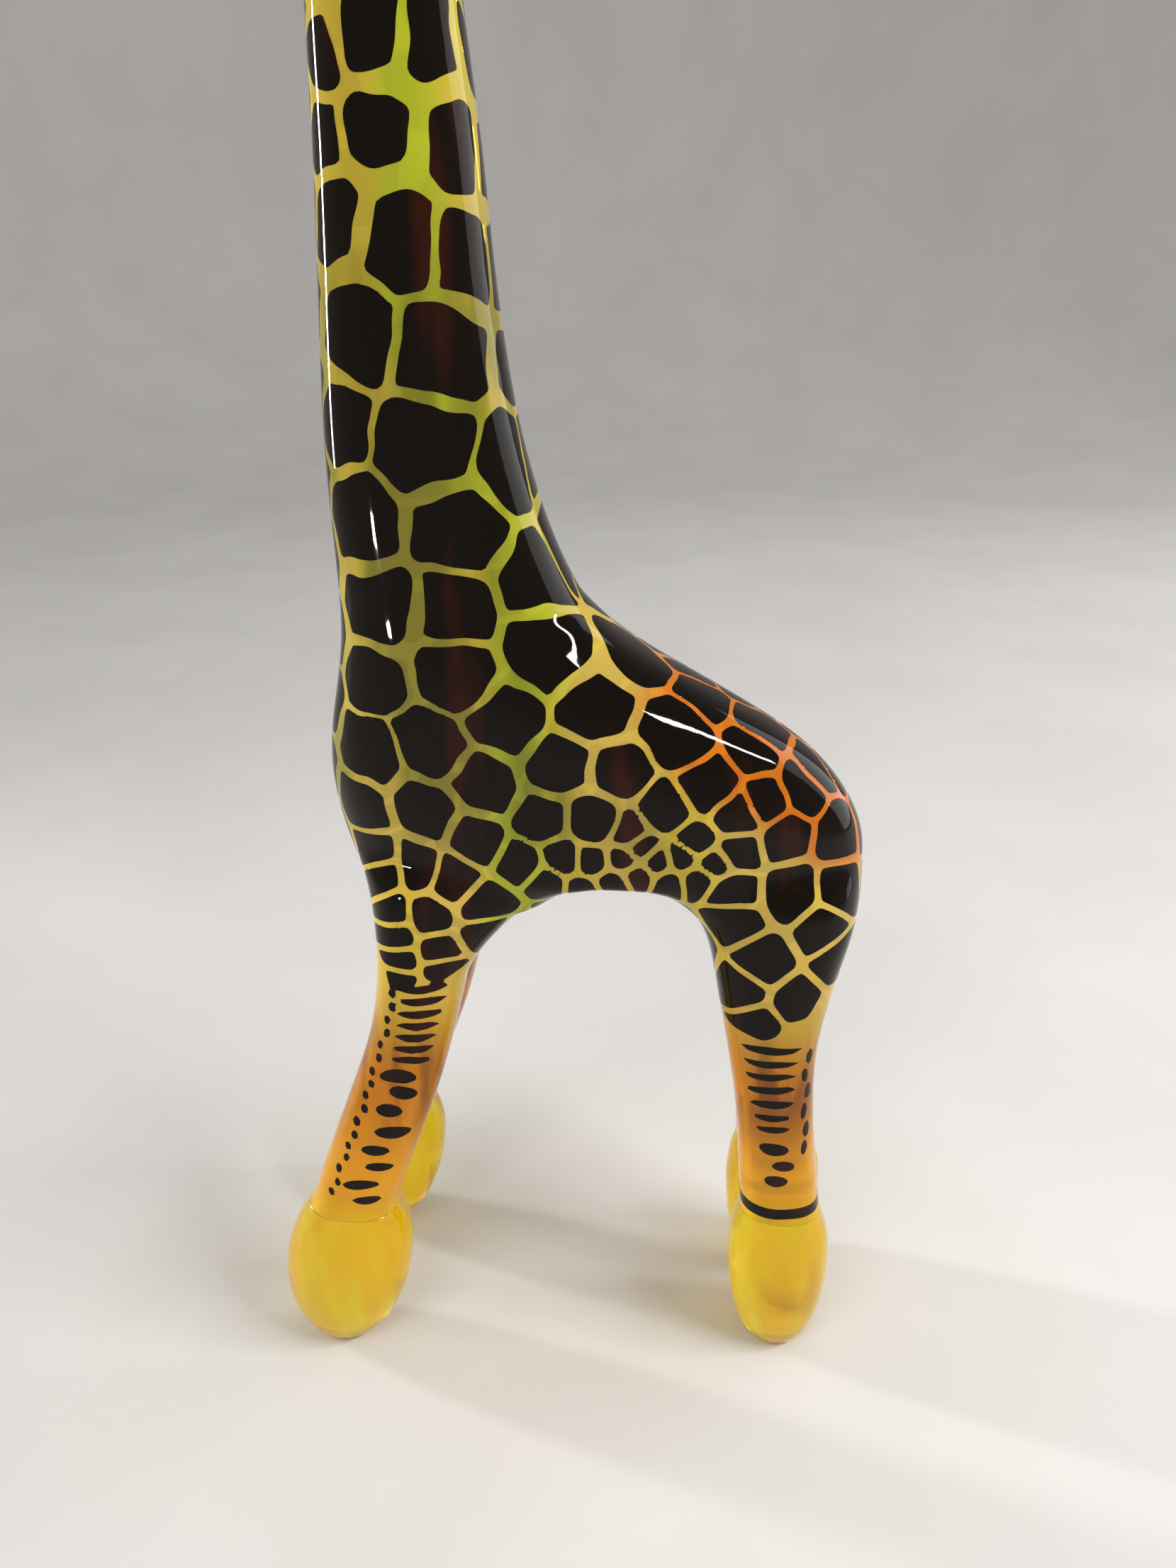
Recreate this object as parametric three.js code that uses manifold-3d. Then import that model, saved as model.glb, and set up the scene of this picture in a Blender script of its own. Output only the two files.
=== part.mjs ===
// A standing giraffe figurine in amber glass, in millimetres, +Z up, facing -X.
// The origin is on the ground under the middle of the figure's length and width.
// The figure is gathered glass: a barrel, a neck, a head and four legs, with bare bulb-shaped hooves.
import * as THREE from 'three';
import { mergeVertices } from 'three/addons/utils/BufferGeometryUtils.js';
import Module from 'manifold-3d';

const wasm = await Module();
wasm.setup();

// ---- Driving dimensions ----
const GAP = 0.3; // between two touching pieces
const HALF_GAP = GAP / 2;

const BELLY = 156; // height of the arch between the front and the hind legs
const NECK_CUT = 222; // height where the neck joins the barrel
const NECK_TOP = 413; // inside the head
const ANKLE = 50; // height where a leg enters its hoof
const FRONT_STANCE = 24.5; // from the middle plane to the centre line of a front foot
const HIND_STANCE = 15.5; // the hind feet stand closer together
const BARREL_HALF = 26; // half of the barrel's width

const BODY_SQUARENESS = 2.4; // 2 is an ellipse, more is squarer
const LEG_SQUARENESS = 2.5;
const SIDES = { torso: 60, neck: 40, head: 30, leg: 30, hoof: 28, ear: 16, ossicone: 18 }; // round each section
const WELD = 1e-4; // corners closer than this are one corner
const CUTTING_BLOCK = 400; // side of the block that trims a leg at the middle plane, longer than the figure

const HEAD_TILT = THREE.MathUtils.degToRad(-110); // turns the head's own +Z towards the muzzle
const HEAD_BACK = new THREE.Vector3(-15.5, 0, 423); // back of the skull, where the head's own Z starts

// Trunk and neck seen from the side: height, front edge, back edge, half of the width.
const TRUNK = [
  [BELLY, -53.8, 84, BARREL_HALF],
  [165, -56.3, 83.6, 27],
  [176, -57.6, 77.6, 27.5],
  [186, -57.2, 68, 27],
  [194, -56, 56, 26.5],
  [202, -54.2, 41.8, 26],
  [210, -52.6, 27.4, 25],
  [217, -51.6, 17, 24],
  [226, -51.4, 8, 22.5],
  [240, -51.7, 1.4, 21.3],
  [256, -52, -3.8, 20.3],
  [274, -51.6, -7.8, 19.3],
  [300, -50.2, -11.2, 17.8],
  [325, -49, -13.2, 16.6],
  [350, -48.4, -16.2, 15.5],
  [376, -47.4, -18.6, 14.4],
  [392, -46, -20, 13.6],
  [404, -42.5, -23, 11.5],
  [NECK_TOP, -38, -27, 7],
];

// Legs seen from the side and from the front: height, front edge, back edge, inner face, outer face.
// An inner face below zero runs past the middle plane, where the two legs of a pair meet.
const FRONT_LEG = [
  [ANKLE, -68.4, -43.6, 14.6, 34.4],
  [60, -65, -40.6, 14.3, 34.6],
  [75, -59.4, -35, 13.4, 34.2],
  [90, -53.8, -29.8, 11.8, 32.6],
  [105, -48.6, -25.6, 8.8, 31],
  [118, -46, -22.6, 4.6, 29.6],
  [130, -45.8, -20, -1.6, 28.4],
  [139, -46.6, -16.2, -8.5, 27.6],
  [146, -48.2, -10, -17, 27],
  [151, -49.9, -2, -22.8, 26.5],
  [154, -51.4, 6, -25.2, 26.2],
  [155.5, -52.8, 11.4, -25.9, 26],
  [BELLY, -53.6, 13.8, -26, BARREL_HALF],
];
const HIND_LEG = [
  [ANKLE, 56.6, 79.4, 5.9, 25.1],
  [60, 55.8, 78, 5.8, 25.6],
  [75, 54.8, 76, 5.4, 26.4],
  [90, 53, 74.6, 4.4, 27],
  [105, 50.4, 74.4, 2.4, 27.4],
  [118, 47.8, 76.2, -0.8, 27.5],
  [130, 45.2, 79.2, -5.4, 27.4],
  [139, 42, 82, -11, 27.2],
  [146, 37.6, 83.4, -18, 27],
  [151, 31.6, 83.8, -22.9, 26.6],
  [154, 25, 83.9, -25.1, 26.2],
  [155.5, 18.6, 84, -25.9, 26],
  [BELLY, 14.2, 84, -26, BARREL_HALF],
];

// Hooves: height, front edge, back edge, half of the width. The sole is the flat end at height 0.
const FRONT_HOOF = [
  [0, -69.5, -55, 7],
  [3, -73, -51, 9.8],
  [9, -76.6, -46.8, 12.4],
  [17, -78.6, -43.2, 14],
  [26, -78.6, -41, 14.6],
  [35, -76.8, -39.8, 14],
  [43, -73.6, -40.2, 12.6],
  [48, -70.8, -42, 10.9],
  [ANKLE - GAP, -69, -43.4, 9.9],
];
const HIND_HOOF = [
  [0, 62.5, 76, 6.5],
  [3, 59.8, 78.6, 9],
  [9, 57.2, 81, 11.4],
  [17, 55.2, 82.6, 12.8],
  [26, 54.2, 83.4, 13.2],
  [35, 54, 83.3, 12.9],
  [43, 54.6, 82.2, 11.9],
  [48, 55.8, 80.4, 10.6],
  [ANKLE - GAP, 56.8, 79.2, 9.7],
];

// Head along its own axis, from the back of the skull to the muzzle:
// distance, lower edge, upper edge, half of the width.
const HEAD = [
  [0, -3, 3.5, 3],
  [1.6, -7.8, 8.4, 7.2],
  [5.5, -12, 12.2, 11],
  [12, -15.2, 14.6, 13.6],
  [20, -16.4, 14.6, 14.2],
  [29, -15.6, 11.6, 12.9],
  [39, -13, 7.4, 10.8],
  [50, -10.8, 4.8, 9.4],
  [60, -10.4, 4.8, 9.8],
  [67, -9.4, 4.2, 9],
  [71.5, -7.4, 2.2, 6.6],
  [73, -5, -0.2, 3],
];
const EAR = [
  [0, -2.6, 2.6, 2.4],
  [5, -4.6, 4.6, 2.9],
  [12, -6.2, 6.2, 2.7],
  [19, -5, 5, 2.3],
  [24, -2.8, 2.8, 1.7],
  [26, -1.1, 1.1, 0.9],
];
const OSSICONE = [
  [0, -4.6, 4.6, 4.6],
  [9, -3.7, 3.7, 3.7],
  [18, -3.1, 3.1, 3.1],
  [21, -3.9, 3.9, 3.9],
  [25, -4.6, 4.6, 4.6],
  [29, -3.6, 3.6, 3.6],
  [30.8, -1.4, 1.4, 1.4],
];
const EYE_RADIUS = 3.4;
const EYE_FLATTENING = 0.75; // across the head

// Where the small right-hand pieces stand on the head, and which way they point.
const EAR_SEAT = new THREE.Vector3(-22.5, 10.5, 430);
const EAR_AIM = new THREE.Vector3(0.34, 0.86, 0.38).normalize();
const EAR_TURN = 0.5; // radians about its own length
const OSSICONE_SEAT = new THREE.Vector3(-31, 6.4, 429);
const OSSICONE_AIM = new THREE.Vector3(0.2, 0.17, 1).normalize();
const EYE_SEAT = new THREE.Vector3(-40.5, 12.2, 420.5);

// ---- Materials ----
const glass = (color) => new THREE.MeshStandardMaterial({ color, roughness: 0.05, metalness: 0 });
const AMBER = 0xd9a21c;
const ORANGE = 0xc9780e;
const YELLOW = 0xf0c400;
const BLACK = 0x120d08;

// ---- Geometry helpers ----

// A closed body stacked from rounded sections. A section is [height, x low, x high, y low, y high].
// The caps at both ends are flat. Squareness 2 makes each section an ellipse.
function loft(sections, { sides = 32, steps = 2, squareness = 2, grow = 0 } = {}) {
  const centres = sections.map(([z, x0, x1, y0, y1]) => new THREE.Vector3((x0 + x1) / 2, (y0 + y1) / 2, z));
  const halves = sections.map(([z, x0, x1, y0, y1]) => new THREE.Vector3((x1 - x0) / 2, (y1 - y0) / 2, z));
  const spine = new THREE.CatmullRomCurve3(centres, false, 'catmullrom');
  const spread = new THREE.CatmullRomCurve3(halves, false, 'catmullrom');
  const rings = (sections.length - 1) * steps;
  const geometry = new THREE.CylinderGeometry(1, 1, 1, sides, rings).rotateX(Math.PI / 2);
  const corner = geometry.attributes.position;
  const bulge = (value) => Math.sign(value) * Math.abs(value) ** (2 / squareness);
  for (let i = 0; i < corner.count; i++) {
    const along = THREE.MathUtils.clamp(corner.getZ(i) + 0.5, 0, 1);
    const centre = spine.getPoint(along);
    const half = spread.getPoint(along);
    const overrun = along === 0 ? -grow : along === 1 ? grow : 0;
    corner.setXYZ(
      i,
      centre.x + bulge(corner.getX(i)) * (half.x + grow),
      centre.y + bulge(corner.getY(i)) * (half.y + grow),
      centre.z + overrun,
    );
  }
  return geometry;
}

// Sections given by one half of the width, centred on the middle plane or on a foot's centre line.
const centred = (sections, y = 0) => sections.map(([z, x0, x1, half]) => [z, x0, x1, y - half, y + half]);

function toSolid(geometry) {
  const bare = geometry.clone();
  bare.deleteAttribute('normal');
  bare.deleteAttribute('uv');
  const merged = mergeVertices(bare, WELD);
  const vertProperties = new Float32Array(merged.attributes.position.array);
  const triVerts = new Uint32Array(merged.index.array);
  return new wasm.Manifold(new wasm.Mesh({ numProp: 3, vertProperties, triVerts }));
}

function toGeometry(solid) {
  const { vertProperties, triVerts } = solid.getMesh();
  const geometry = new THREE.BufferGeometry();
  geometry.setAttribute('position', new THREE.BufferAttribute(vertProperties, 3));
  geometry.setIndex(new THREE.BufferAttribute(triVerts, 1));
  geometry.computeVertexNormals();
  return geometry;
}

const without = (geometry, ...tools) =>
  toGeometry(tools.reduce((left, tool) => left.subtract(toSolid(tool)), toSolid(geometry)));

// The same shape on the other side of the middle plane, with its faces still pointing out.
function mirrored(geometry) {
  const copy = geometry.clone().scale(1, -1, 1);
  const index = copy.index.array;
  for (let i = 0; i < index.length; i += 3) [index[i + 1], index[i + 2]] = [index[i + 2], index[i + 1]];
  copy.computeVertexNormals();
  return copy;
}

// ---- Pieces, all made on the right-hand side (+Y) where they come in pairs ----

// The part of the trunk's sections between two heights, with a section on each cut.
function trunkBetween(low, high) {
  const inside = TRUNK.filter(([z]) => z > low && z < high);
  return [trunkAt(low), ...inside, trunkAt(high)];
}

function trunkAt(height) {
  const above = Math.max(1, TRUNK.findIndex(([z]) => z >= height));
  const [lower, upper] = [TRUNK[above - 1], TRUNK[above]];
  const share = (height - lower[0]) / (upper[0] - lower[0]);
  return lower.map((value, i) => THREE.MathUtils.lerp(value, upper[i], share));
}

function torso() {
  const sections = centred(trunkBetween(BELLY + HALF_GAP, NECK_CUT - HALF_GAP));
  return loft(sections, { sides: SIDES.torso, squareness: BODY_SQUARENESS });
}

function head(grow = 0) {
  const geometry = loft(centred(HEAD), { sides: SIDES.head, grow });
  return geometry.rotateY(HEAD_TILT).translate(HEAD_BACK.x, HEAD_BACK.y, HEAD_BACK.z);
}

function neck() {
  const sections = centred(trunkBetween(NECK_CUT + HALF_GAP, NECK_TOP));
  return without(loft(sections, { sides: SIDES.neck, squareness: BODY_SQUARENESS }), head(GAP));
}

// A leg keeps to its own side of the middle plane.
function leg(sections) {
  const block = new THREE.BoxGeometry(CUTTING_BLOCK, CUTTING_BLOCK, CUTTING_BLOCK);
  const otherSide = block.translate(0, HALF_GAP - CUTTING_BLOCK / 2, BELLY / 2);
  const lowered = sections.map(([z, ...edges]) => [z === BELLY ? BELLY - HALF_GAP : z, ...edges]);
  return without(loft(lowered, { sides: SIDES.leg, squareness: LEG_SQUARENESS }), otherSide);
}

const hoof = (sections, stance) => loft(centred(sections, stance), { sides: SIDES.hoof });

// Stands a small piece on the head: its own +Z turns to the direction and its root moves to the seat.
function seated(geometry, seat, aim, turn = 0) {
  const tilt = new THREE.Quaternion().setFromUnitVectors(new THREE.Vector3(0, 0, 1), aim);
  return geometry.rotateZ(turn).applyQuaternion(tilt).translate(seat.x, seat.y, seat.z);
}

function ear() {
  const leaf = loft(centred(EAR), { sides: SIDES.ear });
  return without(seated(leaf, EAR_SEAT, EAR_AIM, EAR_TURN), head(GAP));
}

function ossicone() {
  const horn = loft(centred(OSSICONE), { sides: SIDES.ossicone });
  return without(seated(horn, OSSICONE_SEAT, OSSICONE_AIM), head(GAP));
}

function eye() {
  const ball = new THREE.SphereGeometry(EYE_RADIUS, 20, 14).scale(1, EYE_FLATTENING, 1);
  return without(ball.translate(EYE_SEAT.x, EYE_SEAT.y, EYE_SEAT.z), head(GAP));
}

// ---- Assembly ----
const giraffe = new THREE.Group();

function add(name, geometry, color) {
  const mesh = new THREE.Mesh(geometry, glass(color));
  mesh.name = name;
  giraffe.add(mesh);
}

function addPair(name, geometry, color) {
  const right = geometry.index ? geometry : mergeVertices(geometry);
  add(`${name}_right`, right, color);
  add(`${name}_left`, mirrored(right), color);
}

add('torso', torso(), AMBER);
add('neck', neck(), AMBER);
add('head', head(), AMBER);
addPair('front_leg', leg(FRONT_LEG), ORANGE);
addPair('hind_leg', leg(HIND_LEG), ORANGE);
addPair('front_hoof', hoof(FRONT_HOOF, FRONT_STANCE), YELLOW);
addPair('hind_hoof', hoof(HIND_HOOF, HIND_STANCE), YELLOW);
addPair('ear', ear(), AMBER);
addPair('ossicone', ossicone(), BLACK);
addPair('eye', eye(), BLACK);

export default giraffe;
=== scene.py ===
import math

import bpy
import numpy as np
from mathutils import Matrix, Vector, noise
from mathutils.bvhtree import BVHTree


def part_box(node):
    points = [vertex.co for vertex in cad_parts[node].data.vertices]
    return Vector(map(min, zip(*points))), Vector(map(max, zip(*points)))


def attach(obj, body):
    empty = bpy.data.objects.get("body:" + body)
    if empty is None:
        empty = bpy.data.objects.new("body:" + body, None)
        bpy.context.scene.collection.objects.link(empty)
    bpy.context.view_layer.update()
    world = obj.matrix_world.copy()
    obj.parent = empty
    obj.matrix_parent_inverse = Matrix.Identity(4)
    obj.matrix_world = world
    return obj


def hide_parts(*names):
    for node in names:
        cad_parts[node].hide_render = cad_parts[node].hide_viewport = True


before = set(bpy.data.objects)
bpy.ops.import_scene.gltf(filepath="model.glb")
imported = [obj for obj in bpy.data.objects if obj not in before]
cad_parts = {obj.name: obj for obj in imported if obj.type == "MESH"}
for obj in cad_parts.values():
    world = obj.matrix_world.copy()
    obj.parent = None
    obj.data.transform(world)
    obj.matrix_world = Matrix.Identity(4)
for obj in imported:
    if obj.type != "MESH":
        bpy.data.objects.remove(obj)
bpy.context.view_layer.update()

MM = 0.001
LEFT = -1
RIGHT = 1
SIDE_NAMES = {LEFT: "left", RIGHT: "right"}

# The glass form
MELT_VOXEL = 1.1 * MM
MELT_SWELL = 0.3 * MM
MELT_ROUNDS = 22
FINE_VOXEL = 0.45 * MM
FINE_ROUNDS = 6
CUT_PRECISION = 1e-7
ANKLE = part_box("front_hoof_left")[1][2]
JOINT_GAP = 0.1 * MM

# Where hot glass has run together, and where the arch is rounded. A zone says where an effect starts, is
# full, stops being full, and ends. Corner, belly and inner side zones run along the body, the rest go up.
THIGH_ZONE = (118 * MM, 134 * MM, 166 * MM, 184 * MM)
THIGH_ROUNDS = 80
LAST_ROUNDS = 16
ARCH_ZONE = (128 * MM, 138 * MM, 158 * MM, 170 * MM)
ARCH_ROUNDS = 260
ARCH_CORNERS = ((-24 * MM, -14 * MM, 2 * MM, 10 * MM), (32 * MM, 38 * MM, 50 * MM, 60 * MM))
ANKLE_ZONE = (36 * MM, 45 * MM, 56 * MM, 66 * MM)
ANKLE_ROUNDS = 30
BELLY_SAG = 1.5 * MM
CORNER_SAG = 3.5 * MM
CORNER_REACH = 6.5 * MM
SAG_ZONE = (140 * MM, 150 * MM, 160 * MM, 178 * MM)
BELLY_ZONE = (-12 * MM, 4 * MM, 36 * MM, 50 * MM)
CORNER_ZONE = (-22 * MM, -8 * MM, -2 * MM, 16 * MM)
INNER_SIDE_ZONE = (-34 * MM, -16 * MM, -6 * MM, 12 * MM)
REACH_ZONE = (122 * MM, 144 * MM, 148 * MM, 160 * MM)

# The black patches
SEAM_SHARE = 0.047
SEAM_START = 0.32 * MM
THINNEST_SEAM = 0.8 * MM
WIDEST_SEAM = 2.2 * MM
CORNER_ROUNDING = 0.45 * MM
# The borders wander by noise in layers, each an amount and a size. Each axis reads it at its own place.
WOBBLES = ((2.2 * MM, 15 * MM), (0.9 * MM, 6 * MM))
WOBBLE_SHIFTS = (Vector((3.3, 0, 0)), Vector((0, 27.1, 9.7)), Vector((14.9, 0, 41.3)))
# The wandering is calmer on the legs and rises above them.
LEG_WANDER = 0.3
EXTRA_WANDER = 0.7
WANDER_RISE = (160 * MM, 190 * MM)
# Seams are wider high on the neck and narrower over the rump, and their width drifts slowly.
NECK_WIDENING = 0.75
NECK_RISE = (270 * MM, 330 * MM)
RUMP_NARROWING = 0.35
RUMP_START = (15 * MM, 40 * MM)
RUMP_RISE = (166 * MM, 182 * MM)
LEG_DRIFT = 0.3
EXTRA_DRIFT = 0.6
DRIFT_RISE = (160 * MM, 200 * MM)
DRIFT_SIZE = 16 * MM
# The field's value where the glass is plainly bare, and how many points are worked out at once.
BARE = -1.0
BATCH = 8000
PATCH_PROUD = 0.06 * MM
PATCH_DEPTH = 0.16 * MM
FAR_OFF = 0.5

# Middles of the patches on the left side: millimetres along the body and up, one row of the coat to a line.
NECK_CELLS = [
    (-38, 226), (-18, 227), (-1, 234),
    (-41, 247), (-17, 244),
    (-46, 268), (-25, 264), (-6, 260),
    (-39, 288), (-19, 283),
    (-43, 310), (-28, 306), (-14, 303),
    (-46, 326), (-31, 327), (-16, 324),
    (-45, 341), (-32, 345), (-20, 343),
    (-46, 358), (-33, 363), (-20, 361),
    (-44, 377), (-31, 381), (-19, 379),
    (-38, 395), (-24, 398),
]
SHOULDER_CELLS = [
    (-39, 208), (-20, 212), (3, 217),
    (-42, 190), (-26, 195), (-7, 200), (14, 203),
    (-46, 172), (-28, 175), (-12, 184),
]
FLANK_CELLS = [
    (7, 190), (21, 188), (33, 197),
    (2, 176), (14, 175), (23, 173), (31, 179), (42, 185), (53, 191),
    (-15, 169), (40, 171), (49, 177), (49, 168), (56, 181), (62, 171), (65, 182), (75, 169),
    (48, 157), (64, 157), (76, 155),
]
BELLY_CELLS = [
    (-4, 163), (3, 158), (7, 165), (11, 157), (14, 165), (19, 159), (22, 166),
    (26, 169), (25, 161), (30, 165), (33, 159), (36, 166), (40, 160), (44, 165),
]
FRONT_THIGH_CELLS = [
    (-22, 157), (-31, 159), (-44, 161), (-42, 154),
    (-28, 147), (-39, 147), (-14, 150),
    (-38, 140), (-26, 137), (-15, 141),
    (-37, 134), (-26, 130.5),
    (-37, 128),
]
HIND_THIGH_CELLS = [
    (49, 148), (73, 147),
    (57, 138), (77, 137),
    (52, 128), (67, 126),
    (57, 118),
]
# Bare places: on the inner faces of the legs, where the legs part, and under the lowest patches.
INNER_BARE = ((-38, 112), (-28, 112), (58, 104), (70, 104))
PARTING_BARE = (-37, -27, 58, 70)
BELOW_CELLS = ((-44, 124), (-37, 121), (-30, 123), (-24, 124), (55, 110), (62, 109), (69, 114), (75, 120))
# Marks on the lower legs, by height in millimetres, and each kind's share of the way across from the front.
FRONT_LEG = {
    "outer_end": -1, "from_middle": 25 * MM,
    "bars": (126, 122.3, 118.6, 115, 111.4, 107.8, 104.2), "bars_across": 0.62,
    "spots": (99, 94, 88.5, 82, 76, 70, 63.5, 58), "spots_across": 0.58,
    "strokes": range(60, 128, 4), "strokes_across": 0.2, "stroke_halves": (1.05, 9, 1.3),
}
HIND_LEG = {
    "outer_end": 1, "from_middle": 20 * MM,
    "bars": (111.5, 107, 102.5, 98, 93.6, 89.2, 85), "bars_across": 0.46,
    "spots": (78, 72, 66), "spots_across": 0.5,
    "strokes": range(78, 114, 6), "strokes_across": 0.86, "stroke_halves": (0.8, 9, 2.4),
}
BAR_REACH = 0.34
BAR_SHORTENING = 0.02
BAR_HALF = 1.15 * MM
BAR_DEPTH = 9 * MM
SPOT_SWAYS = (-0.05, 0.07)
SPOT_REACHES = (0.21, 0.16, 0.16)
SPOT_HALF = 2.1
SPOT_SHRINKING = 0.1
SPOT_DEPTH = 8 * MM
STROKE_SWAYS = (0, 0.04)
# Midline patches, as distances along the body or heights.
BACK_TOP = (24, 40, 56, 69)
NAPE_HEIGHTS = range(238, 405, 21)
THROAT_HEIGHTS = range(142, 395, 19)
RUMP_HEIGHTS = (135, 150, 166, 181)
BELLY_LINE = range(-6, 48, 7)
# The right side has the same coat, slid along and up.
RIGHT_SLIDE = (3, 8)
# The head's patches are counted from the lowest front one. Every second row is half a space further back.
HEAD_START = (-66, 394)
HEAD_SPACES = (10, 9)
HEAD_COLUMNS = 6
HEAD_ROWS = 5
# Below this height there are only marks, and a dark ring around each hind ankle.
LOWEST_PATCH = 100 * MM
RING_HEIGHT = 54 * MM
RING_HALF = 1.8 * MM
# Where one part of the coat ends and the next starts.
HEAD_FROM = 398 * MM
MUZZLE_FROM = 385 * MM
MUZZLE_BEFORE = -50 * MM
NECK_FROM = 215 * MM
LEGS_TO = 150 * MM
ARCH_MIDDLE = 12 * MM

# The face
HEAD_BACK = Vector((-15.5 * MM, 0, 423 * MM))
HEAD_DROOP = math.radians(20)
MUZZLE_AT = 59 * MM
MOUTH_AT = 52 * MM
MOUTH_BELOW = 4.4 * MM
MOUTH_HALF = 0.38 * MM
NOSTRILS = (4.2 * MM, 401.6 * MM)
NOSTRIL_HALVES = (1.6 * MM, 0.75 * MM, 1.15 * MM)
EYE_RING = 5.3 * MM


# ---------------------------------------------------------------- tools for shaping

def only(*pieces):
    """Selects these pieces and nothing else; the last one is active."""
    bpy.ops.object.select_all(action="DESELECT")
    for piece in pieces:
        piece.select_set(True)
    bpy.context.view_layer.objects.active = pieces[-1]


def copied(names, piece_name):
    """One object made from copies of CAD nodes, its corners merged and all but its sharp edges rounded."""
    only(*[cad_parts[name] for name in names])
    bpy.ops.object.duplicate()
    if len(names) > 1:
        bpy.ops.object.join()
    piece = bpy.context.object
    piece.name = piece_name
    piece.data.name = piece_name
    piece.data.materials.clear()
    bpy.ops.object.mode_set(mode="EDIT")
    bpy.ops.mesh.select_all(action="SELECT")
    bpy.ops.mesh.remove_doubles(threshold=0.001 * MM)
    bpy.ops.mesh.tris_convert_to_quads()
    bpy.ops.mesh.select_all(action="DESELECT")
    bpy.ops.mesh.select_mode(type="EDGE")
    bpy.ops.mesh.edges_select_sharp(sharpness=math.radians(50))
    bpy.ops.transform.edge_crease(value=1)
    bpy.ops.object.mode_set(mode="OBJECT")
    finish_with(piece, "SUBSURF", levels=2, render_levels=2)
    return piece


def finish_with(piece, kind, **settings):
    """Adds a modifier and applies it."""
    only(piece)
    modifier = piece.modifiers.new(kind, kind)
    for setting, value in settings.items():
        setattr(modifier, setting, value)
    bpy.ops.object.modifier_apply(modifier=modifier.name)


def step(value, start, end):
    """A soft step from 0 at the start to 1 at the end."""
    share = np.clip((value - start) / (end - start), 0, 1)
    return share * share * (3 - 2 * share)


def corners_of(piece):
    """The piece's corner points as an array."""
    places = np.empty(len(piece.data.vertices) * 3)
    piece.data.vertices.foreach_get("co", places)
    return places.reshape(-1, 3)


def zone_weight(values, zone):
    """1 in the middle of a zone, fading to 0 at both ends."""
    start, full, full_end, end = zone
    return step(values, start, full) * (1 - step(values, full_end, end))


def softened(piece, weights, rounds):
    """Smooths the piece where the weights say."""
    group = piece.vertex_groups.new(name="soft")
    for index in np.flatnonzero(weights).tolist():
        group.add([index], weights[index], "REPLACE")
    finish_with(piece, "SMOOTH", factor=0.5, iterations=rounds, vertex_group="soft")
    piece.vertex_groups.clear()


def melted(names, piece_name, voxel, swell, rounds):
    """Copies of CAD nodes melted into one smooth closed form."""
    piece = copied(names, piece_name)
    if swell:
        finish_with(piece, "DISPLACE", strength=swell, mid_level=0)
    finish_with(piece, "REMESH", mode="VOXEL", voxel_size=voxel, use_smooth_shade=True)
    finish_with(piece, "SMOOTH", factor=0.5, iterations=rounds)
    return piece


def cut_level(piece, height, keep_above):
    """Cuts a piece at a height and closes the cut."""
    only(piece)
    bpy.ops.object.mode_set(mode="EDIT")
    bpy.ops.mesh.select_all(action="SELECT")
    bpy.ops.mesh.bisect(
        plane_co=(0, 0, height), plane_no=(0, 0, 1), use_fill=True,
        clear_inner=keep_above, clear_outer=not keep_above, threshold=CUT_PRECISION,
    )
    bpy.ops.object.mode_set(mode="OBJECT")


# ---------------------------------------------------------------- the glass

def round_arch(body):
    """Rounds the arch between the legs: the belly hangs a little, and the front corner reaches into it."""
    places = corners_of(body)
    x, _, z = places.T
    sag = BELLY_SAG * zone_weight(x, BELLY_ZONE) + CORNER_SAG * zone_weight(x, CORNER_ZONE)
    moved = places.copy()
    moved[:, 2] -= sag * zone_weight(z, SAG_ZONE)
    moved[:, 0] += CORNER_REACH * zone_weight(x, INNER_SIDE_ZONE) * zone_weight(z, REACH_ZONE)
    body.data.vertices.foreach_set("co", moved.ravel())
    body.data.update()


def glass_form():
    """The whole animal as one piece of glass, then the hooves parted from it at the ankles."""
    names = ["torso", "neck", "head"]
    for side in SIDE_NAMES.values():
        names += [f"front_leg_{side}", f"hind_leg_{side}", f"front_hoof_{side}", f"hind_hoof_{side}"]
    body = melted(names, "glass_body", MELT_VOXEL, MELT_SWELL, MELT_ROUNDS)
    x, _, z = corners_of(body).T
    softened(body, zone_weight(z, THIGH_ZONE), THIGH_ROUNDS)
    softened(body, zone_weight(z, ANKLE_ZONE), ANKLE_ROUNDS)
    for corner in ARCH_CORNERS:
        softened(body, zone_weight(x, corner) * zone_weight(z, ARCH_ZONE), ARCH_ROUNDS)
    round_arch(body)
    x, _, z = corners_of(body).T
    softened(body, zone_weight(z, THIGH_ZONE), LAST_ROUNDS)
    cut_level(body, 0, keep_above=True)
    only(body)
    bpy.ops.object.duplicate()
    hooves = bpy.context.object
    cut_level(body, ANKLE + JOINT_GAP / 2, keep_above=True)
    cut_level(hooves, ANKLE - JOINT_GAP / 2, keep_above=False)
    only(hooves)
    bpy.ops.object.mode_set(mode="EDIT")
    bpy.ops.mesh.select_all(action="SELECT")
    bpy.ops.mesh.separate(type="LOOSE")
    bpy.ops.object.mode_set(mode="OBJECT")
    parted = list(bpy.context.selected_objects)
    for hoof in parted:
        middle = sum((v.co for v in hoof.data.vertices), Vector()) / len(hoof.data.vertices)
        end = "front" if middle.x < 0 else "hind"
        side = "left" if middle.y < 0 else "right"
        hoof.name = f"glass_{end}_hoof_{side}"
        hoof.data.name = hoof.name
    return body, parted


# ---------------------------------------------------------------- the coat of patches

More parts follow.
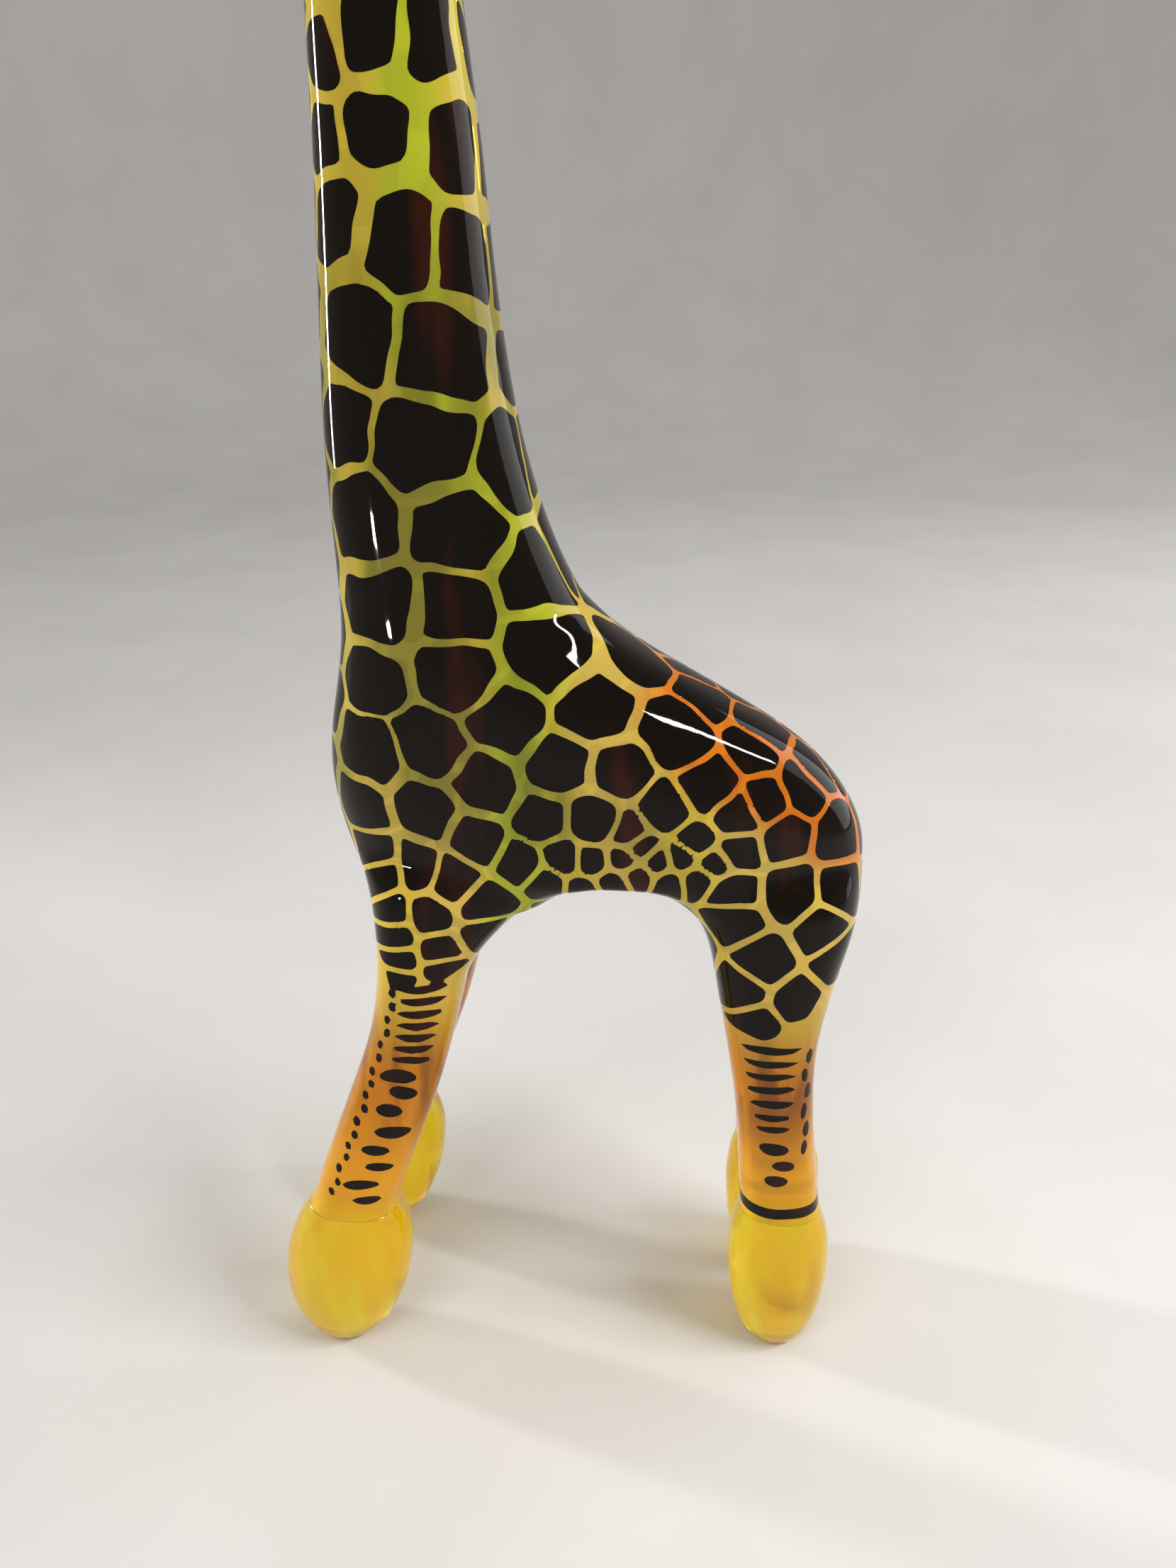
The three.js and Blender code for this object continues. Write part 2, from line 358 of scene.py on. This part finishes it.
class Skin:
    """The outside of the glass body, to lay patches on."""

    def __init__(self, body):
        mesh = body.data
        mesh.calc_loop_triangles()
        self.points = corners_of(body)
        self.normals = np.empty(len(mesh.vertices) * 3)
        mesh.vertices.foreach_get("normal", self.normals)
        self.normals = self.normals.reshape(-1, 3)
        self.triangles = np.empty(len(mesh.loop_triangles) * 3, dtype=np.int32)
        mesh.loop_triangles.foreach_get("vertices", self.triangles)
        self.triangles = self.triangles.reshape(-1, 3)
        self.tree = BVHTree.FromPolygons(self.points.tolist(), self.triangles.tolist())

    def hit(self, start, direction):
        """The point where a line first meets the skin, or None."""
        return self.tree.ray_cast(Vector(start), Vector(direction))[0]


def side_seeds(skin, cells, side, slide=(0, 0)):
    """Patch middles on one side, from their places along the body and up."""
    seeds = []
    for along, up in cells:
        start = ((along + slide[0]) * MM, side * FAR_OFF, (up + slide[1]) * MM)
        seeds.append(skin.hit(start, (0, -side, 0)))
    return [seed for seed in seeds if seed is not None]


def midline_seeds(skin):
    """Patch middles along the back, nape, throat, rump and belly."""
    seeds = []
    for along in BACK_TOP:
        seeds.append(skin.hit((along * MM, -6 * MM, FAR_OFF), (0, 0, -1)))
        seeds.append(skin.hit(((along + 7) * MM, 12 * MM, FAR_OFF), (0, 0, -1)))
    for height in NAPE_HEIGHTS:
        seeds.append(skin.hit((FAR_OFF, 2 * MM, height * MM), (-1, 0, 0)))
    for height in THROAT_HEIGHTS:
        seeds.append(skin.hit((-FAR_OFF, -2 * MM, height * MM), (1, 0, 0)))
    for height in RUMP_HEIGHTS:
        seeds.append(skin.hit((FAR_OFF, 2 * MM, height * MM), (-1, 0, 0)))
    for along in BELLY_LINE:
        for across in (-12, -4, 4, 12):
            seeds.append(skin.hit((along * MM, across * MM, 60 * MM), (0, 0, 1)))
    return [seed for seed in seeds if seed is not None]


def bare_seeds(skin):
    """Middles of the bare areas: between the legs, and below the lowest patches."""
    seeds = [skin.hit((along * MM, 0, 60 * MM), (0, 0, 1)) for along in PARTING_BARE]
    for side in SIDE_NAMES:
        for along, up in INNER_BARE:
            seeds.append(skin.hit((along * MM, 0, up * MM), (0, side, 0)))
        for along, up in BELOW_CELLS:
            seeds.append(skin.hit((along * MM, side * FAR_OFF, up * MM), (0, -side, 0)))
    return [seed for seed in seeds if seed is not None]


def head_seeds(skin):
    """Small patches on the cheeks and brow, in staggered rows."""
    seeds = []
    for row in range(HEAD_ROWS):
        for column in range(HEAD_COLUMNS):
            along = HEAD_START[0] + HEAD_SPACES[0] * (column + (row % 2) / 2)
            up = HEAD_START[1] + HEAD_SPACES[1] * row
            for side in SIDE_NAMES:
                seeds.append(skin.hit((along * MM, side * FAR_OFF, up * MM), (0, -side, 0)))
    return [seed for seed in seeds if seed is not None]


def wobbled(points):
    """The points moved a little, which makes the patch borders wander."""
    moved = points.copy()
    wander = LEG_WANDER + EXTRA_WANDER * step(points[:, 2], *WANDER_RISE)
    for index, point in enumerate(points):
        for amount, size in WOBBLES:
            for axis, shift in enumerate(WOBBLE_SHIFTS):
                moved[index, axis] += amount * wander[index] * noise.noise(Vector(point) / size + shift)
    return moved


def seam_swell(points):
    """How much wider or narrower than usual the seams are at each point."""
    x, _, z = points.T
    usual = 1 + NECK_WIDENING * step(z, *NECK_RISE)
    usual -= RUMP_NARROWING * step(x, *RUMP_START) * step(z, *RUMP_RISE)
    liveliness = LEG_DRIFT + EXTRA_DRIFT * step(z, *DRIFT_RISE)
    drift = np.array([noise.noise(Vector(point) / DRIFT_SIZE) for point in points])
    return usual * (1 + liveliness * drift)


def cell_field(points, seeds, patch_count):
    """How far each point is inside the patch of its nearest seed; below zero it is in a seam.

    Only the first seeds, as many as patch_count says, have a patch. The others keep what is around them bare.
    """
    field = np.empty(len(points))
    swell = seam_swell(points)
    for start in range(0, len(points), BATCH):
        part = points[start:start + BATCH]
        away = ((part[:, None, :] - seeds[None]) ** 2).sum(2)
        nearest = away.argmin(1)
        own = away[np.arange(len(part)), nearest][:, None]
        spacing = np.linalg.norm(seeds[nearest][:, None, :] - seeds[None], axis=2)
        spacing[np.arange(len(part)), nearest] = 1
        seam = np.minimum(SEAM_START + SEAM_SHARE * spacing, WIDEST_SEAM) * swell[start:start + BATCH, None]
        seam = np.maximum(seam, THINNEST_SEAM)
        inside = (away - own) / (2 * spacing) - seam
        inside[np.arange(len(part)), nearest] = 1
        patch = -CORNER_ROUNDING * np.log(np.exp(-inside / CORNER_ROUNDING).sum(1))
        field[start:start + BATCH] = np.where(nearest < patch_count, patch, -seam.min(1))
    return field


def leg_marks(skin, side, leg):
    """Bars, spots and thin strokes down the outside of a lower leg, as (middle, half sizes)."""
    marks = []
    flank = side * leg["from_middle"]
    outward = leg["outer_end"]

    def across(share, height):
        """A place on the outer face, at a share of the leg's width from its front edge, and that width."""
        inner_edge = skin.hit((15 * MM, flank, height * MM), (outward, 0, 0))
        outer_edge = skin.hit((outward * FAR_OFF, flank, height * MM), (-outward, 0, 0))
        front, back = sorted((inner_edge.x, outer_edge.x))
        place = skin.hit((front + share * (back - front), side * FAR_OFF, height * MM), (0, -side, 0))
        return place, back - front

    for index, height in enumerate(leg["bars"]):
        place, width = across(leg["bars_across"], height)
        marks.append((place, (width * (BAR_REACH - BAR_SHORTENING * index), BAR_DEPTH, BAR_HALF)))
    for index, height in enumerate(leg["spots"]):
        place, width = across(leg["spots_across"] + SPOT_SWAYS[index % 2], height)
        tall = (SPOT_HALF - SPOT_SHRINKING * index) * MM
        marks.append((place, (width * SPOT_REACHES[index % 3], SPOT_DEPTH, tall)))
    for index, height in enumerate(leg["strokes"]):
        place, _ = across(leg["strokes_across"] + STROKE_SWAYS[index % 2], height)
        marks.append((place, tuple(half * MM for half in leg["stroke_halves"])))
    return marks


def mark_field(points, marks):
    """How far each point is inside the nearest dash or spot."""
    field = np.full(len(points), BARE)
    for middle, halves in marks:
        halves = np.array(halves)
        reach = np.linalg.norm((points - np.array(middle)) / halves, axis=1)
        field = np.maximum(field, (1 - reach) * halves[2])
    return field


def face(skin, field, points):
    """Leaves the muzzle and a ring around each eye bare, and draws the mouth and the nostrils."""
    forward = np.array((-math.cos(HEAD_DROOP), 0, -math.sin(HEAD_DROOP)))
    upward = np.array((-math.sin(HEAD_DROOP), 0, math.cos(HEAD_DROOP)))
    along = (points - np.array(HEAD_BACK)) @ forward
    height = (skin.points - np.array(HEAD_BACK)) @ upward
    on_head = skin.points[:, 2] > MUZZLE_FROM
    field = np.where(on_head, np.minimum(field, MUZZLE_AT - along), field)
    for side in SIDE_NAMES.values():
        low, high = (Vector(corner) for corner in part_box(f"eye_{side}"))
        from_eye = np.linalg.norm(skin.points - np.array((low + high) / 2), axis=1)
        field = np.minimum(field, from_eye - EYE_RING)
    mouth = np.minimum(MOUTH_HALF - np.abs(height + MOUTH_BELOW), along - MOUTH_AT)
    field = np.where(on_head & (along > MOUTH_AT), np.maximum(field, mouth), field)
    nostrils = []
    for side in SIDE_NAMES:
        nostrils.append((skin.hit((-FAR_OFF, side * NOSTRILS[0], NOSTRILS[1]), (1, 0, 0)), NOSTRIL_HALVES))
    return np.maximum(field, mark_field(skin.points, nostrils))


def coat_field(skin):
    """Above zero where the glass is black."""
    seeds = []
    for cells in (NECK_CELLS, SHOULDER_CELLS, FLANK_CELLS, BELLY_CELLS, FRONT_THIGH_CELLS, HIND_THIGH_CELLS):
        seeds += side_seeds(skin, cells, LEFT)
        seeds += side_seeds(skin, cells, RIGHT, RIGHT_SLIDE)
    seeds += midline_seeds(skin)
    seeds += head_seeds(skin)
    patch_count = len(seeds)
    seeds += bare_seeds(skin)
    points = wobbled(skin.points)
    field = cell_field(points, np.array([tuple(seed) for seed in seeds]), patch_count)
    x, _, z = skin.points.T
    field = np.where(z < LOWEST_PATCH, BARE, field)
    field = face(skin, field, points)
    marks = []
    for side in SIDE_NAMES:
        marks += leg_marks(skin, side, FRONT_LEG)
        marks += leg_marks(skin, side, HIND_LEG)
    field = np.maximum(field, mark_field((skin.points + points) / 2 + (points - skin.points), marks))
    ring = RING_HALF - np.abs(points[:, 2] - RING_HEIGHT)
    return np.where(x > ARCH_MIDDLE, np.maximum(field, ring), field)


def patch_piece(body, skin, field, chosen, piece_name):
    """The black patches of one part of the body: the skin inside the field, as thin closed tiles."""
    triangles = skin.triangles[chosen]
    signs = field[triangles] > 0
    corners = []
    corner_of = {}
    faces = []

    def corner(key):
        """The number of a corner: at a point of the skin, or where the field is zero between a pair."""
        if key not in corner_of:
            corner_of[key] = len(corners)
            if isinstance(key, tuple):
                low, high = key
                share = field[low] / (field[low] - field[high])
                place = skin.points[low] * (1 - share) + skin.points[high] * share
                normal = skin.normals[low] * (1 - share) + skin.normals[high] * share
            else:
                place = skin.points[key]
                normal = skin.normals[key]
            corners.append(place + normal * PATCH_PROUD)
        return corner_of[key]

    for triangle, sign in zip(triangles.tolist(), signs.tolist()):
        if not any(sign):
            continue
        outline = []
        for this in range(3):
            after = (this + 1) % 3
            if sign[this]:
                outline.append(corner(triangle[this]))
            if sign[this] != sign[after]:
                outline.append(corner(tuple(sorted((triangle[this], triangle[after])))))
        faces.append(outline)
    mesh = bpy.data.meshes.new(piece_name)
    mesh.from_pydata([tuple(place) for place in corners], [], faces)
    piece = bpy.data.objects.new(piece_name, mesh)
    bpy.context.collection.objects.link(piece)
    finish_with(piece, "SOLIDIFY", thickness=PATCH_DEPTH, offset=-1)
    only(piece)
    bpy.ops.object.shade_smooth_by_angle(angle=math.radians(50))
    finish_with(
        piece, "DATA_TRANSFER", object=body, use_loop_data=True,
        data_types_loops={"CUSTOM_NORMAL"}, loop_mapping="POLYINTERP_NEAREST",
    )
    return piece


def coat(body):
    """All the black patches, one piece for each part of the body."""
    skin = Skin(body)
    field = coat_field(skin)
    middles = skin.points[skin.triangles].mean(1)
    x, y, z = middles.T
    head = (z > HEAD_FROM) | ((z > MUZZLE_FROM) & (x < MUZZLE_BEFORE))
    neck = (z > NECK_FROM) & ~head
    leg = z < LEGS_TO
    front = leg & (x < ARCH_MIDDLE)
    hind = leg & ~front
    regions = {
        "patches_head": head,
        "patches_neck": neck,
        "patches_torso": ~(head | neck | leg),
        "patches_front_leg_left": front & (y < 0),
        "patches_front_leg_right": front & (y >= 0),
        "patches_hind_leg_left": hind & (y < 0),
        "patches_hind_leg_right": hind & (y >= 0),
    }
    return [patch_piece(body, skin, field, chosen, name) for name, chosen in regions.items()]


# ---------------------------------------------------------------- materials

def new_material(name):
    """A material, with its nodes, links and shader."""
    material = bpy.data.materials.new(name)
    material.use_nodes = True
    tree = material.node_tree
    return material, tree.nodes, tree.links, tree.nodes["Principled BSDF"]


def streaks_group():
    """Long soft streaks in drawn glass: a value that varies slowly along Z and faster across."""
    group = bpy.data.node_groups.new("glass_streaks", "ShaderNodeTree")
    group.interface.new_socket("Scale", in_out="INPUT", socket_type="NodeSocketFloat")
    group.interface.new_socket("Streak", in_out="OUTPUT", socket_type="NodeSocketFloat")
    nodes, links = group.nodes, group.links
    inputs = nodes.new("NodeGroupInput")
    outputs = nodes.new("NodeGroupOutput")
    place = nodes.new("ShaderNodeTexCoord")
    stretch = nodes.new("ShaderNodeMapping")
    stretch.inputs["Scale"].default_value = (1, 1, 0.18)
    cloud = nodes.new("ShaderNodeTexNoise")
    cloud.inputs["Detail"].default_value = 3
    links.new(place.outputs["Object"], stretch.inputs["Vector"])
    links.new(stretch.outputs["Vector"], cloud.inputs["Vector"])
    links.new(inputs.outputs["Scale"], cloud.inputs["Scale"])
    links.new(cloud.outputs["Fac"], outputs.inputs["Streak"])
    return group


STREAKS = streaks_group()


def streaks(nodes, scale):
    """The streaks at one scale, as a node's output."""
    node = nodes.new("ShaderNodeGroup")
    node.node_tree = STREAKS
    node.inputs["Scale"].default_value = scale
    return node.outputs["Streak"]


def ranged(nodes, links, value, low, high, to_low=0, to_high=1):
    """A value mapped from one range to another, with soft ends."""
    node = nodes.new("ShaderNodeMapRange")
    node.interpolation_type = "SMOOTHSTEP"
    links.new(value, node.inputs["Value"])
    node.inputs["From Min"].default_value = low
    node.inputs["From Max"].default_value = high
    node.inputs["To Min"].default_value = to_low
    node.inputs["To Max"].default_value = to_high
    return node.outputs["Result"]


def arithmetic(nodes, links, operation, *values):
    """Arithmetic on numbers and node outputs."""
    node = nodes.new("ShaderNodeMath")
    node.operation = operation
    for socket, value in zip(node.inputs, values):
        if isinstance(value, (int, float)):
            socket.default_value = value
        else:
            links.new(value, socket)
    return node.outputs["Value"]


def blended(nodes, links, factor, first, second):
    """A mix of two colours, each a colour or another node's output."""
    node = nodes.new("ShaderNodeMix")
    node.data_type = "RGBA"
    links.new(factor, node.inputs["Factor"])
    for socket, colour in ((node.inputs["A"], first), (node.inputs["B"], second)):
        if isinstance(colour, tuple):
            socket.default_value = colour
        else:
            links.new(colour, socket)
    return node.outputs["Result"]


OCHRE = (0.86, 0.60, 0.12, 1)
GOLD = (0.90, 0.66, 0.06, 1)
LIME = (0.66, 0.72, 0.03, 1)
OLIVE = (0.26, 0.25, 0.025, 1)
ORANGE = (0.90, 0.23, 0.012, 1)
HONEY = (1.0, 0.46, 0.002, 1)
AMBER = (0.72, 0.27, 0.002, 1)
DARK_AMBER = (0.32, 0.10, 0.001, 1)
YELLOW = (1.0, 0.62, 0.001, 1)
PALE_YELLOW = (1.0, 0.84, 0.003, 1)
BROWN_BLACK = (0.005, 0.003, 0.0015, 1)
PAINTED_RED_REFLECTION = (0.032, 0.006, 0.003, 1)
PAPER = (0.70, 0.68, 0.65, 1)
PALE_PAPER = (0.74, 0.72, 0.69, 1)


def set_glass(shader, roughness, ior, specular, transmission):
    """Sets how a glass shader shines and lets light through."""
    shader.inputs["Roughness"].default_value = roughness
    shader.inputs["IOR"].default_value = ior
    shader.inputs["Specular IOR Level"].default_value = specular
    shader.inputs["Transmission Weight"].default_value = transmission


def amber_glass():
    """Golden glass: ochre at the front and amber down the legs, with a painted lime glow in the middle,
    painted orange backlight over the rump and painted olive shade low on the neck.
    """
    material, nodes, links, shader = new_material("amber_glass")
    place = nodes.new("ShaderNodeTexCoord")
    split = nodes.new("ShaderNodeSeparateXYZ")
    links.new(place.outputs["Object"], split.inputs["Vector"])
    cloud = streaks(nodes, 45)
    x, z = split.outputs["X"], split.outputs["Z"]
    base = blended(nodes, links, ranged(nodes, links, cloud, 0.35, 0.65), OCHRE, GOLD)
    # Painted light: a lime stripe that leans forward as it climbs, the glow of light bent through the round
    # neck as through a lens.
    lime_line = ranged(nodes, links, z, 0.215, 0.300, -0.004, -0.026)
    aside = arithmetic(nodes, links, "ABSOLUTE", arithmetic(nodes, links, "SUBTRACT", x, lime_line))
    ragged = arithmetic(nodes, links, "MULTIPLY_ADD", cloud, 0.02, aside)
    painted_lime_glow = arithmetic(
        nodes, links, "MULTIPLY",
        ranged(nodes, links, ragged, 0.013, 0.024, 1, 0),
        ranged(nodes, links, z, 0.385, 0.400, 1, 0),
    )
    limed = blended(nodes, links, painted_lime_glow, base, LIME)
    # Painted light: orange over the rump and the back, the glow of light shining through from behind and
    # reddened by the thick glass.
    rise = ranged(nodes, links, z, 0.150, 0.205, -0.018, 0.0315)
    toward_rump = arithmetic(nodes, links, "ADD", x, rise)
    ragged_rump = arithmetic(nodes, links, "MULTIPLY_ADD", cloud, 0.02, toward_rump)
    painted_backlight = arithmetic(
        nodes, links, "MULTIPLY",
        ranged(nodes, links, ragged_rump, 0.058, 0.074),
        ranged(nodes, links, z, 0.150, 0.165),
    )
    # Painted shade: darker olive streaks low on the neck and over the shoulder.
    low_neck = arithmetic(
        nodes, links, "MULTIPLY",
        ranged(nodes, links, z, 0.155, 0.180),
        ranged(nodes, links, z, 0.285, 0.325, 1, 0),
    )
    forward = ranged(nodes, links, toward_rump, 0.020, 0.045, 1, 0)
    painted_shade = arithmetic(
        nodes, links, "MULTIPLY",
        arithmetic(nodes, links, "MULTIPLY", low_neck, forward),
        ranged(nodes, links, streaks(nodes, 60), 0.36, 0.58, 0.15, 0.85),
    )
    shaded = blended(nodes, links, painted_shade, limed, OLIVE)
    warmed = blended(nodes, links, painted_backlight, shaded, ORANGE)
    # Amber legs, brighter toward the hooves.
    leg = ranged(nodes, links, z, 0.100, 0.130, 1, 0)
    shade = ranged(nodes, links, streaks(nodes, 110), 0.42, 0.60)
    upper_leg = blended(nodes, links, shade, AMBER, DARK_AMBER)
    leg_colour = blended(nodes, links, ranged(nodes, links, z, 0.062, 0.096, 1, 0), upper_leg, HONEY)
    coat_colour = blended(nodes, links, leg, warmed, leg_colour)
    ankle = ranged(nodes, links, z, 0.050, 0.062, 1, 0)
    colour = blended(nodes, links, ankle, coat_colour, YELLOW)
    links.new(colour, shader.inputs["Base Color"])
    set_glass(shader, roughness=0.03, ior=1.5, specular=0.18, transmission=0.4)
    return material


def yellow_glass():
    """Clear bright yellow glass with slow swirls."""
    material, nodes, links, shader = new_material("yellow_glass")
    swirl = ranged(nodes, links, streaks(nodes, 90), 0.35, 0.65)
    links.new(blended(nodes, links, swirl, YELLOW, PALE_YELLOW), shader.inputs["Base Color"])
    set_glass(shader, roughness=0.02, ior=1.5, specular=0.22, transmission=0.7)
    return material


def black_glass():
    """Glossy brown-black glass with faint dark-red streaks, which are painted reflections."""
    material, nodes, links, shader = new_material("black_glass")
    # Painted reflection: faint dark-red streaks in the black.
    streak = ranged(nodes, links, streaks(nodes, 70), 0.52, 0.72)
    links.new(blended(nodes, links, streak, BROWN_BLACK, PAINTED_RED_REFLECTION), shader.inputs["Base Color"])
    set_glass(shader, roughness=0.03, ior=1.45, specular=0.2, transmission=0)
    return material


def studio_paper():
    """Pale matt paper with a faint mottling."""
    material, nodes, links, shader = new_material("studio_paper")
    mottle = ranged(nodes, links, streaks(nodes, 8), 0.3, 0.7)
    links.new(blended(nodes, links, mottle, PAPER, PALE_PAPER), shader.inputs["Base Color"])
    shader.inputs["Roughness"].default_value = 0.8
    return material


def dress(piece, material):
    """Gives a piece this material and no other."""
    piece.data.materials.clear()
    piece.data.materials.append(material)


# ---------------------------------------------------------------- studio

ROOM_RADIUS = 2.6
ROOM_HEIGHT = 2.6
ROOM_CURVE = 1.1
LIT_MIDDLE = Vector((0, 0, 0.2))
SKY = (0.9, 0.93, 1, 1)
SKY_STRENGTH = 0.25

# Thin lights in a row, whose reflections join into one highlight along the back.
STRIP_CENTRE = Vector((0.035, -0.018, 0.198))
STRIP_FAR = 1.6
STRIP_WIDTH = 0.065
STRIP_WATTS = 18
STRIP_TRACK = ((-38, 42.5), (-30, 44), (-22, 45), (-11, 43.5), (3, 35.5))

CAMERA_PLACE = (0.03555, -0.28699, 0.300)
CAMERA_TILT = 66.4
CAMERA_TURN = 5
CAMERA_LENS = 27.05
CAMERA_SENSOR = 36


def area_light(name, place, size, watts):
    """A rectangular light, not yet aimed."""
    bpy.ops.object.light_add(type="AREA", location=place)
    light = bpy.context.object
    light.name = name
    light.data.shape = "RECTANGLE"
    light.data.size, light.data.size_y = size
    light.data.energy = watts
    return light


def softbox(name, place, size, watts, spread=180):
    """A light aimed at the middle of the animal."""
    light = area_light(name, place, size, watts)
    light.data.spread = math.radians(spread)
    aim = LIT_MIDDLE - Vector(place)
    light.rotation_euler = aim.to_track_quat("-Z", "Y").to_euler()


def strip_end(azimuth, rise):
    """The place far from the strip lights' centre in a direction given by two angles."""
    turn, lift = math.radians(azimuth), math.radians(rise)
    direction = Vector((math.cos(lift) * math.cos(turn), math.cos(lift) * math.sin(turn), math.sin(lift)))
    return STRIP_CENTRE + STRIP_FAR * direction


def strip(name, start, end):
    """A thin light from one place to another, facing the strip lights' centre."""
    along = end - start
    place = (start + end) / 2
    facing = (place - STRIP_CENTRE).normalized()
    long_axis = along.normalized()
    short_axis = facing.cross(long_axis).normalized()
    light = area_light(name, place, (along.length, STRIP_WIDTH), STRIP_WATTS * along.length)
    light.rotation_euler = Matrix((long_axis, short_axis, facing)).transposed().to_euler()


def studio():
    """A round pale floor that sweeps up into a wall, soft lights and the camera."""
    bpy.ops.mesh.primitive_circle_add(vertices=96, radius=ROOM_RADIUS, fill_type="NGON", location=(0, 0, 0))
    sweep = bpy.context.object
    sweep.name = "studio_sweep"
    bpy.ops.object.mode_set(mode="EDIT")
    bpy.ops.mesh.select_mode(type="EDGE")
    bpy.ops.mesh.select_all(action="SELECT")
    bpy.ops.mesh.extrude_edges_move(TRANSFORM_OT_translate={"value": (0, 0, ROOM_HEIGHT)})
    bpy.ops.object.mode_set(mode="OBJECT")
    finish_with(
        sweep, "BEVEL", width=ROOM_CURVE, segments=16, limit_method="ANGLE", angle_limit=math.radians(60),
    )
    only(sweep)
    bpy.ops.object.shade_smooth()
    dress(sweep, studio_paper())

    softbox("sky_softbox", (0.1, 0.1, 1.9), (1.2, 1.2), 5.5)
    softbox("front_softbox", (-0.4, -1.1, 1.5), (0.8, 0.8), 7)
    for index, (start, end) in enumerate(zip(STRIP_TRACK, STRIP_TRACK[1:])):
        strip(f"back_strip_{index}", strip_end(*start), strip_end(*end))
    softbox("left_panel", (-1.2, 0.32, 0.34), (0.08, 0.5), 1.0, spread=50)
    softbox("right_panel", (1.35, 0.7, 0.6), (1.2, 1.1), 8)
    softbox("low_left_panel", (-0.65, -0.6, 0.12), (0.04, 0.025), 0.1, spread=50)

    world = bpy.data.worlds.new("soft_room")
    bpy.context.scene.world = world
    world.use_nodes = True
    background = world.node_tree.nodes["Background"]
    background.inputs["Color"].default_value = SKY
    background.inputs["Strength"].default_value = SKY_STRENGTH
    bpy.context.scene.view_settings.view_transform = "Standard"

    bpy.ops.object.camera_add(
        location=CAMERA_PLACE,
        rotation=(math.radians(CAMERA_TILT), 0, math.radians(CAMERA_TURN)),
    )
    camera = bpy.context.object
    camera.data.lens = CAMERA_LENS
    camera.data.sensor_width = CAMERA_SENSOR
    camera.data.clip_start = 0.01
    bpy.context.scene.camera = camera


# ---------------------------------------------------------------- putting it together

AMBER_GLASS = amber_glass()
YELLOW_GLASS = yellow_glass()
BLACK_GLASS = black_glass()

body, hooves = glass_form()
patches = coat(body)

dress(body, AMBER_GLASS)
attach(body, "root")
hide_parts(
    "torso", "neck", "head",
    "front_leg_left", "front_leg_right", "hind_leg_left", "hind_leg_right",
)

for hoof in hooves:
    dress(hoof, YELLOW_GLASS)
    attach(hoof, "root")
    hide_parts(hoof.name.replace("glass_", ""))

for patch in patches:
    dress(patch, BLACK_GLASS)
    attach(patch, "root")

for side in SIDE_NAMES.values():
    for node, material, slot in (
        ("ear", AMBER_GLASS, "amber_glass"),
        ("ossicone", BLACK_GLASS, "black_glass"),
        ("eye", BLACK_GLASS, "black_glass"),
    ):
        piece = melted([f"{node}_{side}"], f"glass_{node}_{side}", FINE_VOXEL, 0, FINE_ROUNDS)
        dress(piece, material)
        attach(piece, "root")
        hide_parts(f"{node}_{side}")

studio()
